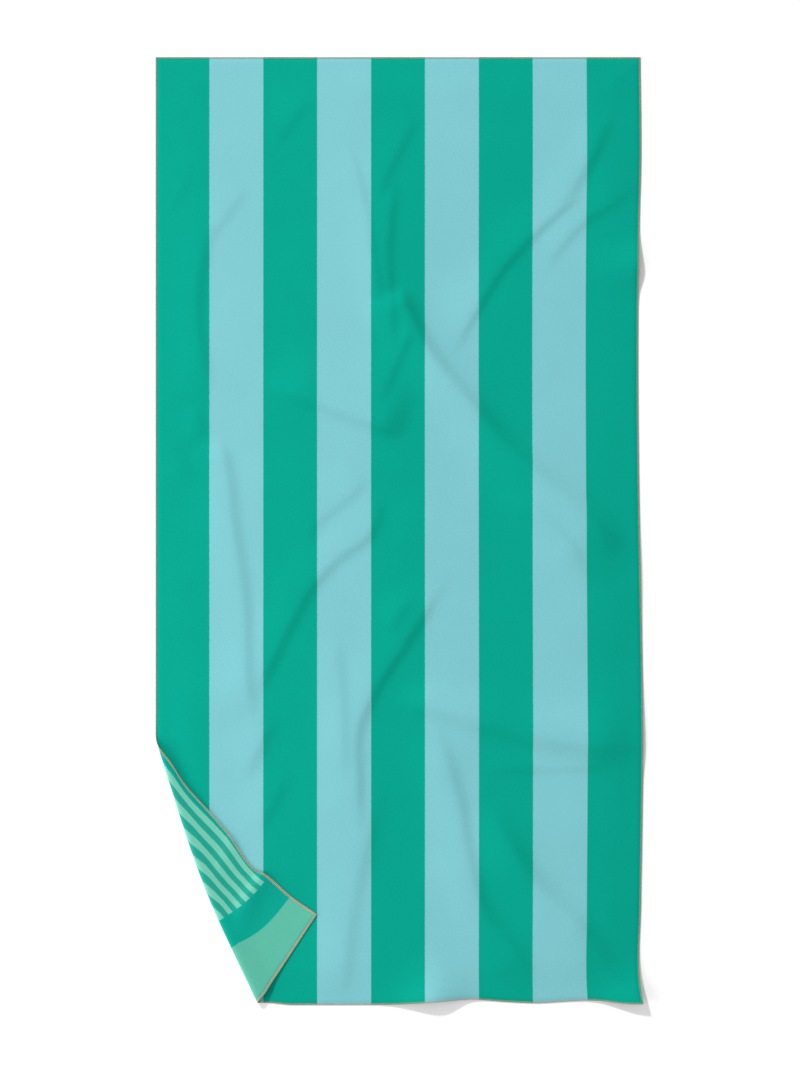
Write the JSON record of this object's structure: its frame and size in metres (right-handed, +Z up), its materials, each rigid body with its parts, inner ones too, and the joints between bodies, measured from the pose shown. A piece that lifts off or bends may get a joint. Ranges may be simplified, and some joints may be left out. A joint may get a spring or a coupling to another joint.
{
  "type": "quick dry towel",
  "caption": "Rectangular striped quick dry towel lying flat, overlocked on every edge, with one corner turned over to show its reverse.",
  "frame": {"origin": "middle of the towel in plan, on the surface that it lies on", "axes": "+Y along the length towards the top edge, +X across the width to the right, +Z up out of the front face"},
  "size_m": [0.8103, 1.5801, 0.01],
  "materials": {
    "cloth": "printed looped microfibre, matte",
    "seam_thread": "coral polyester overlock thread",
    "label": "white satin ribbon, blank"
  },
  "bodies": {
    "towel": {"cloth_panel": "cloth", "seam_top": "seam_thread", "seam_right": "seam_thread", "seam_bottom": "seam_thread", "seam_left": "seam_thread", "care_label": "label", "cloth_fold": "cloth", "fold_seam_left": "seam_thread", "fold_seam_bottom": "seam_thread"},
    "turned_corner": {"cloth_corner": "cloth", "corner_seam_left": "seam_thread", "corner_seam_bottom": "seam_thread"}
  },
  "joints": [
    {"name": "corner_turn", "type": "hinge", "parent": "towel", "child": "turned_corner", "pos_m": [-0.324, -0.584, 0.005], "axis": [0.3659, -0.9306, 0], "range_deg": [0, 178], "deforming": ["cloth_fold", "fold_seam_left", "fold_seam_bottom"]}
  ]
}
